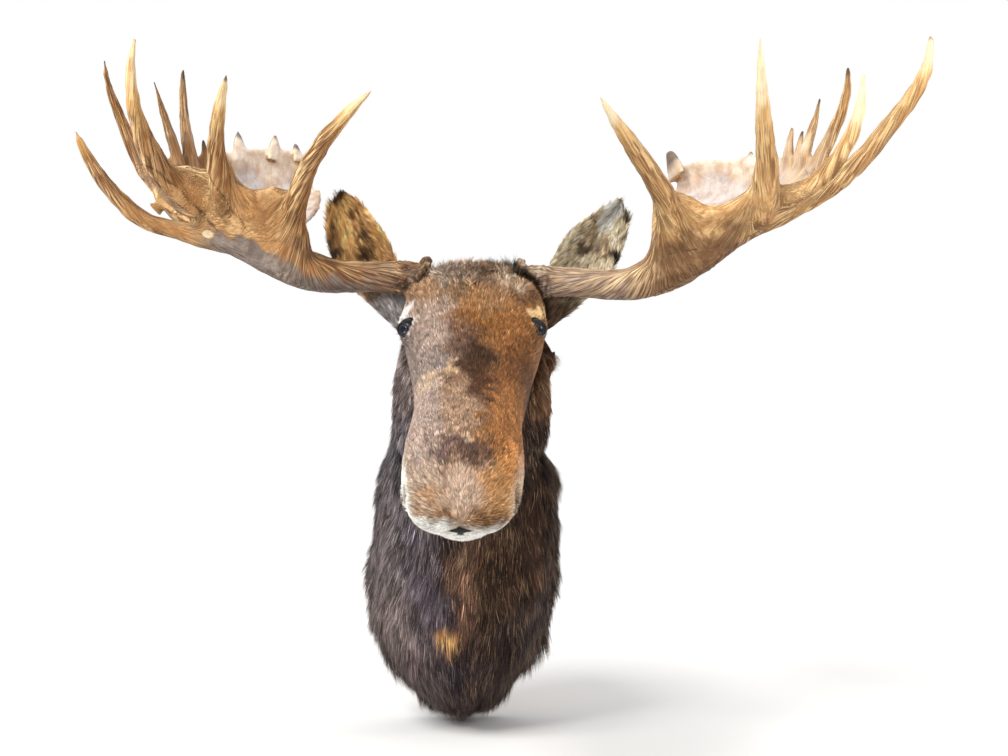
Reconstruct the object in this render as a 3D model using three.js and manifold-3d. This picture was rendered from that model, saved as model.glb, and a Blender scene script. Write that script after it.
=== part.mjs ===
// A bull moose's palmate antlers on its mounted head and neck, made to hang on a wall.
// Millimetres, +Z up. The head faces -Y and the wall is the plane y = 0. "left" and "right" are the
// animal's own sides: its left side is at +X. Points are written in the head's frame, in which x = 0 is
// the middle of the face, and the whole group is moved at the end so that the middle of the back board's
// wall face is the origin.

import * as THREE from 'three';
import { mergeVertices } from 'three/addons/utils/BufferGeometryUtils.js';
import Module from 'manifold-3d';

const wasm = await Module();
wasm.setup();

// ---------- driving dimensions ----------

const FIT_GAP = 0.3; // between pieces that touch

// The back board, an ellipse set in the flat back of the neck.
const BOARD_MIDDLE = { x: -15, z: -105 };
const BOARD_HALF_WIDTH = 164;
const BOARD_HALF_HEIGHT = 285;
const BOARD_THICKNESS = 18;
const BOARD_CHAMFER = 3;

const EYE_RADIUS = 20;
const EYE_MIDDLE = { x: 105, y: -588, z: 321 }; // of the left eye; the right one is its mirror image

const LOCK_RIDGES = 20; // ridges of hanging hair round the neck
const LOCK_HEIGHT = 5;

const BURR_RADIUS = 33;
const BURR_TUBE = 9;
const BURR_KNOBS = 9;
const BURR_TILT = 0.34; // its upper side leans in over the skull

// ---------- geometry helpers ----------

const { smoothstep } = THREE.MathUtils;
const vector = (p) => new THREE.Vector3(p[0], p[1], p[2]);
const mix = (a, b, t) => a + (b - a) * t;
const signedPower = (v, e) => Math.sign(v) * Math.abs(v) ** e;

// Moves every vertex of a three.js geometry to where place says.
function shape(geometry, place) {
  const position = geometry.getAttribute('position');
  for (let i = 0; i < position.count; i++) {
    const p = place(position.getX(i), position.getY(i), position.getZ(i));
    position.setXYZ(i, p.x, p.y, p.z);
  }
  return geometry;
}

// A closed geometry as a manifold-3d solid with its faces pointing out.
function solid(geometry) {
  const bare = geometry.clone();
  bare.deleteAttribute('normal');
  bare.deleteAttribute('uv');
  const merged = mergeVertices(bare, 1e-3);
  const triVerts = new Uint32Array(merged.index.array);
  const vertProperties = new Float32Array(merged.getAttribute('position').array);
  const made = new wasm.Manifold(new wasm.Mesh({ numProp: 3, vertProperties, triVerts }));
  if (made.volume() > 0) return made;
  return new wasm.Manifold(new wasm.Mesh({ numProp: 3, vertProperties, triVerts: triVerts.reverse() }));
}

const join = (parts) => parts.reduce((whole, part) => whole.add(part));
const cut = (whole, tools) => tools.reduce((left, tool) => left.subtract(tool), whole);

// The largest piece that a cut leaves: what stands clear of it is a sliver.
function largest(whole) {
  return whole.decompose().reduce((a, b) => (a.volume() > b.volume() ? a : b));
}

function node(name, whole, material) {
  const mesh = whole.getMesh();
  const geometry = new THREE.BufferGeometry();
  geometry.setAttribute('position', new THREE.BufferAttribute(new Float32Array(mesh.vertProperties), 3));
  geometry.setIndex(new THREE.BufferAttribute(new Uint32Array(mesh.triVerts), 1));
  geometry.computeVertexNormals();
  const made = new THREE.Mesh(geometry, material);
  made.name = name;
  return made;
}

// A shape for each side of the animal, the left one first.
const pair = (make) => [1, -1].map((sign) => make(sign));

// How far a point at w, from -0.5 to 0.5 along a shape, moves out when the shape grows: only its ends do.
const endGrowth = (w, grow) => (Math.abs(w) > 0.499 ? Math.sign(w) * grow : 0);

// A tapering limb along stations [x, y, z, half-width, half-thickness], with elliptical sections whose
// thickness lies along up. A station with no half-thickness is round.
function limb(stations, { sides = 7, steps = 7, up = [0, 0, 1], grow = 0 } = {}) {
  const path = new THREE.CatmullRomCurve3(stations.map(vector));
  const sizes = stations.map((s) => new THREE.Vector3(s[3], s[4] ?? s[3], 0));
  const size = new THREE.CatmullRomCurve3(sizes, false, 'catmullrom');
  const hint = vector(up);
  return solid(shape(new THREE.CylinderGeometry(1, 1, 1, sides, steps), (x, y, z) => {
    const t = 0.5 - y;
    const tangent = path.getTangent(t);
    const side = new THREE.Vector3().crossVectors(tangent, hint).normalize();
    const normal = new THREE.Vector3().crossVectors(side, tangent);
    const s = size.getPoint(t);
    return path.getPoint(t)
      .addScaledVector(tangent, endGrowth(-y, grow))
      .addScaledVector(side, x * (Math.max(s.x, 1) + grow))
      .addScaledVector(normal, z * (Math.max(s.y, 1) + grow));
  }));
}

// A thick curved blade between two edge curves, bowed out by bow in its middle, thin round its rim.
function blade({ first, second, bow, thick, rim, length, across, grow = 0 }) {
  const a = new THREE.CatmullRomCurve3(first.map(vector));
  const b = new THREE.CatmullRomCurve3(second.map(vector));
  const out = vector(bow);
  const middle = (u, v) => a.getPointAt(u).lerp(b.getPointAt(u), v)
    .addScaledVector(out, 4 * v * (1 - v) * Math.sin(Math.PI * mix(0.03, 0.88, u)));
  const reach = 0.02;
  return solid(shape(new THREE.BoxGeometry(1, 1, 1, length, across, 1), (x, y, z) => {
    const u = x + 0.5;
    const v = y + 0.5;
    const along = middle(Math.min(u + reach, 1), v).sub(middle(Math.max(u - reach, 0), v));
    const over = middle(u, Math.min(v + reach, 1)).sub(middle(u, Math.max(v - reach, 0)));
    const normal = new THREE.Vector3().crossVectors(along, over).normalize();
    const round = Math.sqrt(Math.max(0, 1 - (2 * v - 1) ** 2));
    const ends = Math.sqrt(Math.sin(Math.PI * mix(0.08, 0.94, u)));
    const full = mix(thick[0], thick[1], u) * ends;
    return middle(u, v)
      .addScaledVector(normal, z * (mix(Math.min(rim, full), full, round) + 2 * grow))
      .addScaledVector(along.normalize(), endGrowth(x, grow))
      .addScaledVector(over.normalize(), endGrowth(y, grow));
  }));
}

function ball(radius, { x, y, z }, { stretch = [1, 1, 1], turn = [0, 0, 0], detail = 10 } = {}) {
  const round = new THREE.SphereGeometry(radius, detail, detail - 3);
  round.scale(...stretch);
  round.rotateX(turn[0]);
  round.rotateY(turn[1]);
  round.rotateZ(turn[2]);
  round.translate(x, y, z);
  return solid(round);
}

// A hide-covered form through sections { top: [y, z], bottom: [y, z], wide: [half-width at the top, at
// the bottom] }. It is a cylinder whose length runs along the sections; adjust moves its points at the end.
function form(sections, { sides, steps, squareness, grow = 0, adjust = (p) => p }) {
  const line = (pick) => new THREE.CatmullRomCurve3(
    sections.map((s) => new THREE.Vector3(0, ...pick(s))), false, 'catmullrom');
  const topLine = line((s) => s.top);
  const bottomLine = line((s) => s.bottom);
  const widthLine = line((s) => s.wide);
  return solid(shape(new THREE.CylinderGeometry(1, 1, 1, sides, steps), (x, y, z) => {
    const t = 0.5 - y;
    const top = topLine.getPoint(t);
    const bottom = bottomLine.getPoint(t);
    const wide = widthLine.getPoint(t);
    const half = (signedPower(z, squareness) + 1) / 2;
    const outward = top.clone().sub(bottom).normalize();
    const p = bottom.clone().lerp(top, half).addScaledVector(outward, grow * z);
    p.x = signedPower(x, squareness) * (mix(wide.z, wide.y, half) + grow);
    p.y += endGrowth(y, grow);
    return adjust(p);
  }));
}

// ---------- the antlers ----------

// Each antler grew as one branching piece and is parted at its two main forks: the beam with its burr,
// the brow palm that stands up in front, and the main palm that sweeps back.

const rightAntler = {
  burr: [-91, -471, 411],
  beam: [
    [-84, -470, 409, 34, 33], [-120, -473, 415, 31, 30], [-175, -476, 418, 29, 28],
    [-230, -485, 417, 29, 29], [-281, -500, 426, 31, 35], [-330, -512, 442, 30, 32],
    [-385, -516, 466, 27, 27], [-450, -515, 487, 20, 18],
  ],
  brow: {
    first: [[-284, -508, 440], [-335, -522, 432], [-388, -530, 452], [-462, -528, 492]],
    second: [[-282, -558, 546], [-326, -590, 562], [-362, -592, 554], [-415, -592, 576], [-468, -588, 594],
      [-508, -585, 598]],
    bow: [0, 10, -6], thick: [34, 24], rim: 20,
  },
  browTines: [
    [[-302, -522, 448, 31, 22], [-302, -565, 506, 28, 20], [-285, -610, 551, 24, 18],
      [-256, -665, 599, 17, 15], [-204, -725, 649, 13, 11], [-150, -780, 687, 2.5]],
    [[-402, -568, 525, 42, 8], [-414, -605, 570, 28, 16], [-418, -640, 612, 18, 14],
      [-407, -682, 657, 13, 11], [-394, -715, 692, 9], [-381, -748, 718, 2]],
    [[-455, -556, 528, 28, 8], [-508, -592, 572, 26, 16], [-534, -632, 625, 19, 15],
      [-546, -672, 682, 13, 12], [-544, -700, 744, 8], [-533, -716, 782, 2]],
  ],
  main: {
    first: [[-468, -506, 502], [-545, -480, 546], [-573, -440, 605], [-560, -370, 640],
      [-520, -290, 654], [-458, -195, 682], [-400, -132, 692], [-350, -100, 690], [-318, -92, 668]],
    second: [[-372, -500, 470], [-338, -405, 490], [-322, -265, 532], [-306, -160, 574], [-312, -94, 616]],
    bow: [-38, 32, -44], thick: [28, 13], rim: 9,
  },
  mainTines: [
    [[-425, -514, 476, 26, 22], [-512, -520, 496, 18, 17], [-560, -535, 510, 17, 16],
      [-603, -550, 547, 16, 14], [-638, -560, 594, 12, 11], [-656, -570, 628, 8], [-666, -580, 657, 2]],
    [[-552, -436, 580, 34, 6], [-585, -444, 618, 20, 13], [-606, -466, 668, 12, 12],
      [-622, -495, 718, 9, 8], [-630, -520, 760, 5], [-630, -530, 786, 2]],
    [[-536, -362, 622, 24, 6], [-545, -360, 656, 13, 10], [-559, -382, 712, 8], [-570, -420, 770, 2]],
    [[-518, -316, 620, 30, 6], [-526, -322, 655, 18, 11], [-532, -330, 700, 11, 10],
      [-535, -340, 753, 8], [-531, -360, 804, 3]],
    [[-506, -272, 640, 20, 6], [-510, -278, 690, 2]],
    [[-545, -338, 640, 16, 6], [-556, -332, 682, 3]],
    [[-450, -188, 658, 32, 6], [-458, -184, 690, 22, 8], [-462, -178, 720, 2]],
    [[-396, -132, 668, 30, 6], [-397, -130, 692, 22, 8], [-397, -126, 722, 2]],
    [[-352, -104, 672, 26, 6], [-360, -106, 708, 3]],
    [[-545, -470, 538, 16, 6], [-562, -486, 544, 2.5]],
    [[-314, -168, 602, 20, 6], [-302, -130, 612, 5]],
  ],
};

const leftAntler = {
  burr: [97, -471, 408],
  beam: [
    [82, -470, 402, 35, 34], [118, -473, 409, 31, 29], [165, -475, 409, 27, 26],
    [225, -484, 404, 27, 26], [276, -500, 403, 29, 29], [322, -513, 419, 32, 37],
    [378, -522, 446, 30, 37], [446, -526, 487, 25, 28], [515, -527, 517, 20, 21],
  ],
  brow: {
    first: [[310, -512, 428], [394, -522, 440], [479, -530, 484], [556, -532, 534]],
    second: [[312, -552, 556], [352, -580, 556], [392, -584, 529], [424, -588, 526], [456, -592, 545],
      [500, -594, 556], [562, -588, 568]],
    bow: [0, 10, -6], thick: [34, 26], rim: 22,
  },
  browTines: [
    [[332, -522, 436, 36, 24], [340, -560, 490, 27, 22], [327, -605, 538, 25, 20],
      [287, -668, 588, 21, 16], [245, -730, 632, 15, 12], [206, -790, 676, 2]],
    [[478, -554, 512, 36, 10], [492, -585, 545, 31, 18], [494, -620, 588, 22, 16],
      [483, -662, 640, 16, 13], [470, -710, 702, 10], [460, -755, 777, 2]],
    [[528, -560, 542, 22, 10], [578, -592, 566, 19, 14], [610, -622, 602, 15, 12],
      [632, -647, 648, 12, 10], [640, -670, 695, 8], [639, -684, 732, 2]],
  ],
  main: {
    first: [[560, -518, 540], [614, -498, 570], [628, -440, 622], [612, -370, 645],
      [586, -300, 652], [532, -220, 664], [468, -150, 668], [425, -112, 670], [398, -98, 660]],
    second: [[428, -510, 488], [382, -405, 512], [366, -280, 542], [370, -180, 576], [386, -94, 610]],
    bow: [34, 32, -40], thick: [28, 13], rim: 9,
  },
  mainTines: [
    [[500, -520, 510, 28, 24], [592, -530, 552, 18, 18], [653, -545, 597, 19, 18],
      [712, -565, 669, 18, 15], [750, -585, 722, 15, 13], [768, -600, 769, 9.5], [770, -606, 811, 3]],
    [[606, -440, 602, 32, 6], [625, -448, 645, 17, 12], [645, -470, 692, 11, 10],
      [655, -490, 734, 8], [655, -505, 779, 3]],
    [[600, -372, 622, 26, 6], [608, -380, 662, 12, 10], [620, -390, 704, 8, 7], [627, -400, 744, 2.5]],
    [[583, -310, 632, 24, 6], [588, -314, 672, 9, 8], [592, -320, 704, 3]],
    [[596, -342, 640, 18, 6], [606, -348, 694, 3]],
    [[528, -220, 645, 24, 6], [533, -216, 676, 3]],
    [[402, -108, 640, 34, 8], [395, -100, 672, 24, 8], [388, -96, 692, 8, 6]],
  ],
};

// The knobbly ring where an antler meets the skull.
function burr(base, grow) {
  const ring = new THREE.TorusGeometry(BURR_RADIUS, BURR_TUBE + grow, 5, 26);
  shape(ring, (x, y, z) => {
    const angle = Math.atan2(y, x);
    const knob = 1 + 0.11 * Math.sin(BURR_KNOBS * angle) + 0.07 * Math.sin(4 * angle + 1);
    return new THREE.Vector3(x * knob, y * knob, z * knob);
  });
  ring.rotateY(Math.PI / 2 - Math.sign(base[0]) * BURR_TILT);
  ring.translate(...base);
  return solid(ring);
}

const beamSolid = (plan, grow = 0) => join([
  limb(plan.beam, { sides: 10, steps: 14, grow }),
  burr(plan.burr, grow),
]);

function antler(side, sign, plan, material) {
  const browSolid = (grow) => join([
    blade({ ...plan.brow, length: 8, across: 4, grow }),
    ...plan.browTines.map((t) => limb(t, { up: [0, -0.6, 0.4], grow })),
  ]);
  const [lowest, ...others] = plan.mainTines;
  const mainSolid = join([
    blade({ ...plan.main, length: 12, across: 5 }),
    limb(lowest, { sides: 8, steps: 10 }),
    ...others.map((t) => limb(t, { sides: 6, steps: t.length, up: [sign, 0.4, 0] })),
  ]);
  const beamGap = beamSolid(plan, FIT_GAP);
  const brow = largest(cut(browSolid(0), [beamGap]));
  const main = largest(cut(mainSolid, [beamGap, browSolid(FIT_GAP)]));
  return [
    node(`antler_${side}_beam`, beamSolid(plan), material),
    node(`antler_${side}_brow_palm`, brow, material),
    node(`antler_${side}_main_palm`, main, material),
  ];
}

// ---------- the head ----------

const HEAD_SECTIONS = [
  { top: [-385, 386], bottom: [-330, 230], wide: [84, 84] },
  { top: [-425, 426], bottom: [-348, 202], wide: [116, 98] },
  { top: [-480, 447], bottom: [-376, 186], wide: [134, 104] },
  { top: [-540, 438], bottom: [-418, 176], wide: [144, 103] },
  { top: [-602, 392], bottom: [-484, 158], wide: [138, 92] },
  { top: [-655, 345], bottom: [-550, 136], wide: [117, 88] },
  { top: [-715, 300], bottom: [-622, 112], wide: [100, 82] },
  { top: [-780, 262], bottom: [-694, 86], wide: [93, 77] },
  { top: [-850, 232], bottom: [-766, 58], wide: [92, 77] },
  { top: [-920, 206], bottom: [-836, 34], wide: [94, 84] },
  { top: [-982, 172], bottom: [-902, 20], wide: [95, 86] },
  { top: [-1025, 130], bottom: [-960, 14], wide: [91, 80] },
  { top: [-1048, 86], bottom: [-1006, 14], wide: [78, 67] },
  { top: [-1055, 52], bottom: [-1034, 22], wide: [54, 47] },
  { top: [-1057, 44], bottom: [-1050, 34], wide: [22, 20] },
];
const HEAD_TURN = 0.018; // the nose points a little to the animal's right

const turned = (y) => HEAD_TURN * (y + 800);

function headSolid(grow = 0) {
  const adjust = (p) => p.setX(p.x + turned(p.y));
  const skull = form(HEAD_SECTIONS, { sides: 20, steps: 21, squareness: 0.84, grow, adjust });
  const pedicles = pair((s) => limb([
    [48 * s, -477, 392, 40, 36], [76 * s, -472, 404, 33, 32], [100 * s, -470, 411, 28, 27],
  ], { sides: 10, steps: 3, grow }));
  const orbits = pair((s) => ball(56 + grow, { x: 74 * s + 4, y: -562, z: 326 },
    { stretch: [1, 1.25, 0.8], turn: [0.6, 0, 0] }));
  const chin = ball(34 + grow, { x: -3, y: -925, z: 33 }, { stretch: [1.5, 1.75, 0.76], turn: [0.3, 0, 0] });
  return join([skull, ...pedicles, ...orbits, chin]);
}

const eyeAt = (sign, grow = 0) => ball(EYE_RADIUS + grow, { ...EYE_MIDDLE, x: sign * EYE_MIDDLE.x + 3 });

const nostril = (sign) => ball(23, { x: 80 * sign - 4, y: -1002, z: 68 },
  { stretch: [0.5, 1.3, 0.6], turn: [-0.7, 0, 0.5 * sign], detail: 9 });

// The narrow groove between the lips on one side, from under the nose to the corner of the mouth.
const mouthLine = (sign) => limb([
  [34 * sign - 4, -1016, 12, 3], [54 * sign - 4, -978, 24, 6],
  [71 * sign - 3, -920, 52, 6], [80 * sign - 2, -868, 84, 2],
], { sides: 6, steps: 6 });

// ---------- the neck ----------

const NECK_BACK = -BOARD_THICKNESS - FIT_GAP;
const NECK_SECTIONS = [
  { top: [NECK_BACK, 232], bottom: [NECK_BACK, -446], wide: [161, 210] },
  { top: [-90, 262], bottom: [-112, -430], wide: [162, 208] },
  { top: [-170, 300], bottom: [-215, -380], wide: [166, 198] },
  { top: [-250, 338], bottom: [-300, -302], wide: [166, 180] },
  { top: [-320, 368], bottom: [-358, -204], wide: [162, 162] },
  { top: [-375, 388], bottom: [-396, -106], wide: [160, 145] },
  { top: [-415, 400], bottom: [-420, -10], wide: [150, 128] },
  { top: [-438, 390], bottom: [-438, 70], wide: [132, 110] },
  { top: [-448, 340], bottom: [-448, 140], wide: [92, 74] },
];
const NECK_LEAN = 18; // how far the neck's back stands to the right of the face
const NECK_HANG = 13; // how much farther its lower end does
const NECK_POINT = 0.3; // how much its lower end narrows

// The height of the ridges of hair, which fan down and back from behind the jaw.
function lockRidge({ x, y, z }) {
  const fan = Math.atan2(x, -(y + 60 + 0.45 * z));
  const wave = Math.sin(LOCK_RIDGES * fan + 1.2 * Math.sin(z / 70));
  const clump = Math.sin(5 * fan + z / 55) * Math.sin(z / 80 + 1);
  return LOCK_HEIGHT * (0.6 * wave + 0.7 * clump);
}

function neckSolid() {
  const adjust = (p) => {
    const upward = p.z - BOARD_MIDDLE.z;
    const radius = Math.hypot(p.x, upward);
    const ridge = lockRidge(p) * smoothstep(-p.y, -440, -400) * smoothstep(radius, 90, 140);
    const outer = smoothstep(-p.y, -10, 60) * 0.3 + 0.7;
    p.x += (ridge * outer * p.x) / Math.max(radius, 1);
    p.z += (ridge * outer * upward) / Math.max(radius, 1);
    p.x *= 1 - NECK_POINT * smoothstep(-p.z, 290, 440);
    p.x -= NECK_LEAN * smoothstep(p.y, -400, -150) + NECK_HANG * smoothstep(-p.z, 0, 250);
    return p;
  };
  return form(NECK_SECTIONS, { sides: 44, steps: 10, squareness: 1, adjust });
}

// ---------- the ears ----------

const EARS = {
  right: {
    first: [[-128, -462, 322], [-182, -458, 372], [-238, -450, 432], [-258, -446, 498],
      [-254, -442, 548], [-233, -439, 571]],
    second: [[-104, -462, 345], [-120, -464, 405], [-138, -462, 462], [-166, -456, 512],
      [-200, -446, 554], [-229, -439, 572]],
    bow: [0, 34, 0],
  },
  left: {
    first: [[128, -462, 318], [184, -458, 364], [246, -450, 424], [272, -446, 488],
      [279, -442, 528], [265, -439, 556]],
    second: [[104, -462, 340], [122, -464, 398], [142, -462, 450], [172, -456, 496],
      [218, -446, 532], [261, -439, 557]],
    bow: [0, 34, 0],
  },
};

// An ear is a cupped blade on a short round root.
function ear(side, sign) {
  const root = [[74, -452, 322, 30, 28], [112, -450, 345, 30, 24], [148, -446, 385, 26, 14]];
  return join([
    blade({ ...EARS[side], thick: [16, 9], rim: 6, length: 8, across: 5 }),
    limb(root.map(([x, ...rest]) => [x * sign, ...rest]), { sides: 8, steps: 3, up: [0, 1, 0] }),
  ]);
}

// ---------- the back board ----------

function backBoard() {
  const outline = new THREE.Shape();
  outline.absellipse(0, 0, BOARD_HALF_WIDTH - BOARD_CHAMFER, BOARD_HALF_HEIGHT - BOARD_CHAMFER,
    0, 2 * Math.PI, false, 0);
  const board = new THREE.ExtrudeGeometry(outline, {
    depth: BOARD_THICKNESS - 2 * BOARD_CHAMFER,
    bevelThickness: BOARD_CHAMFER,
    bevelSize: BOARD_CHAMFER,
    bevelSegments: 1,
    curveSegments: 20,
  });
  board.translate(0, 0, BOARD_CHAMFER);
  board.rotateX(Math.PI / 2);
  board.translate(BOARD_MIDDLE.x, 0, BOARD_MIDDLE.z);
  return solid(board);
}

// ---------- assembly ----------

const materials = {
  antler: new THREE.MeshStandardMaterial({ color: 0xa87b45, roughness: 0.6 }),
  faceHair: new THREE.MeshStandardMaterial({ color: 0x7a5638, roughness: 0.9 }),
  neckHair: new THREE.MeshStandardMaterial({ color: 0x3a2c24, roughness: 0.9 }),
  earHair: new THREE.MeshStandardMaterial({ color: 0x9a7a50, roughness: 0.9 }),
  eyeGlass: new THREE.MeshStandardMaterial({ color: 0x14100e, roughness: 0.05 }),
  boardWood: new THREE.MeshStandardMaterial({ color: 0xb08a5c, roughness: 0.7 }),
};

const mount = new THREE.Group();
mount.name = 'moose_antler_mount';

mount.add(...antler('right', -1, rightAntler, materials.antler));
mount.add(...antler('left', 1, leftAntler, materials.antler));

const antlerFeet = [rightAntler, leftAntler].map((plan) => beamSolid(plan, FIT_GAP));
const headTools = [
  ...antlerFeet,
  ...pair((sign) => eyeAt(sign, FIT_GAP)),
  ...pair(nostril),
  ...pair(mouthLine),
];
mount.add(node('head', largest(cut(headSolid(), headTools)), materials.faceHair));

const neckWhole = neckSolid();
const neck = largest(cut(neckWhole, [headSolid(FIT_GAP), ...antlerFeet]));
mount.add(node('neck', neck, materials.neckHair));

for (const [side, sign] of [['left', 1], ['right', -1]]) {
  const clear = cut(ear(side, sign), [headSolid(FIT_GAP), neckWhole, ...antlerFeet]);
  mount.add(node(`ear_${side}`, largest(clear), materials.earHair));
  mount.add(node(`eye_${side}`, eyeAt(sign), materials.eyeGlass));
}
mount.add(node('back_board', backBoard(), materials.boardWood));

mount.position.set(-BOARD_MIDDLE.x, 0, -BOARD_MIDDLE.z);

export default mount;
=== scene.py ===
import heapq
import math

import bmesh
import bpy
import numpy as np
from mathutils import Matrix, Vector
from mathutils.kdtree import KDTree


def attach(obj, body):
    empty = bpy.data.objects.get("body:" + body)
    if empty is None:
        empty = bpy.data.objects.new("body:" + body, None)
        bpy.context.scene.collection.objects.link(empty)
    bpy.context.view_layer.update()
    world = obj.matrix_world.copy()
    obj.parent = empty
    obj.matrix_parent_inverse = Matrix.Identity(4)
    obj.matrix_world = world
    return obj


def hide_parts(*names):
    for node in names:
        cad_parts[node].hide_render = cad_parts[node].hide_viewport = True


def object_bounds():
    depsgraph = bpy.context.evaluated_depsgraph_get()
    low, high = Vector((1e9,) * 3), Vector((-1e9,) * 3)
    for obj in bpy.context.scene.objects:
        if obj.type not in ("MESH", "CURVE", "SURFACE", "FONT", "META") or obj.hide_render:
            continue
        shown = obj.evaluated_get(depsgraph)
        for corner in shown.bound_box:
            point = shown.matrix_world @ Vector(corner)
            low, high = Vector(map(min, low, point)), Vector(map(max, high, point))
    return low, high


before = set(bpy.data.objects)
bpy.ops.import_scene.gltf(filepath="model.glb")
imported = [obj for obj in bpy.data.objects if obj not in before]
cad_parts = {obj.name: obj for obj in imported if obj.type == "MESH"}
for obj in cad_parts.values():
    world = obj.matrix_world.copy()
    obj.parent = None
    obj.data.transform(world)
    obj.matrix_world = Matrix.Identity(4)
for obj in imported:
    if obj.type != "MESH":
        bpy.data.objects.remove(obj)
cad_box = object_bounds()
scene = bpy.context.scene

# The antlers: bone that grew under velvet, palmate, with a knobbly burr where each meets the skull. Its
# surface is grooved lengthwise like bark, rubbed pale on the tines' ends, smooth and grey under the beams.
# Each antler grew as one piece, so one skin stands for its three solids.

FACE_MIDDLE = np.array([0.015, 0.0, 0.105])  # the head's own frame: x = 0 at the middle of the face
ANTLER_NET = 0.0023  # spacing of the skin's points
FUSE = 0.0005  # how much each solid grows so that the three become one
GROOVE_DEPTH = 0.0009
RING = 0.07  # how far the grooves run before they are drawn anew
COMB_STRIDE = 0.0028


def smooth(value, low, high):
    """0 below low, 1 above high, and soft between; high may be the lower one."""
    share = np.clip((value - low) / (high - low), 0.0, 1.0)
    return share * share * (3.0 - 2.0 * share)


def drift(points, size, seed, waves=28):
    """Soft random lumps about size metres across, mostly from -2 to 2."""
    rng = np.random.default_rng(seed)
    ways = rng.normal(size=(waves, 3))
    ways *= (2 * math.pi / size * rng.uniform(0.5, 1.3, waves) / np.linalg.norm(ways, axis=1))[:, None]
    return np.sin(points @ ways.T + rng.uniform(0, 2 * math.pi, waves)).sum(1) * math.sqrt(2 / waves)


def drifts(points, size, seed):
    """Three such lumps at once, as soft random directions."""
    return np.stack([drift(points, size, seed + k) for k in range(3)], 1)


def unit(vectors):
    return vectors / np.maximum(np.linalg.norm(vectors, axis=-1, keepdims=True), 1e-9)


def dot(a, b):
    return (a * b).sum(-1, keepdims=True)


def read(collection, name, width, kind=np.float32):
    values = np.empty(len(collection) * width, kind)
    collection.foreach_get(name, values)
    return values.reshape(-1, width) if width > 1 else values


def colour(red, green, blue):
    """A colour as the eye names it, from 0 to 255, in the linear values that materials take."""
    return [((c / 255 + 0.055) / 1.055) ** 2.4 if c > 10 else c / 255 / 12.92 for c in (red, green, blue)]


def merged_copy(nodes, grow=0.0):
    """Copies of the CAD nodes in one mesh, doubled points merged, each grown a little so that they fuse."""
    whole = bmesh.new()
    for name in nodes:
        part = bmesh.new()
        part.from_mesh(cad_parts[name].data)
        bmesh.ops.remove_doubles(part, verts=part.verts, dist=1e-6)
        part.normal_update()
        for vertex in part.verts:
            vertex.co += vertex.normal * grow
        mesh = bpy.data.meshes.new(name)
        part.to_mesh(mesh)
        part.free()
        whole.from_mesh(mesh)
        bpy.data.meshes.remove(mesh)
    made = bpy.data.meshes.new("copy")
    whole.to_mesh(made)
    whole.free()
    return made


def remeshed(mesh, spacing):
    """The mesh's surface as one even net of quads."""
    holder = bpy.data.objects.new("holder", mesh)
    scene.collection.objects.link(holder)
    net = holder.modifiers.new("net", "REMESH")
    net.mode, net.voxel_size = "VOXEL", spacing
    made = bpy.data.meshes.new_from_object(holder.evaluated_get(bpy.context.evaluated_depsgraph_get()))
    bpy.data.objects.remove(holder)
    return made


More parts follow.
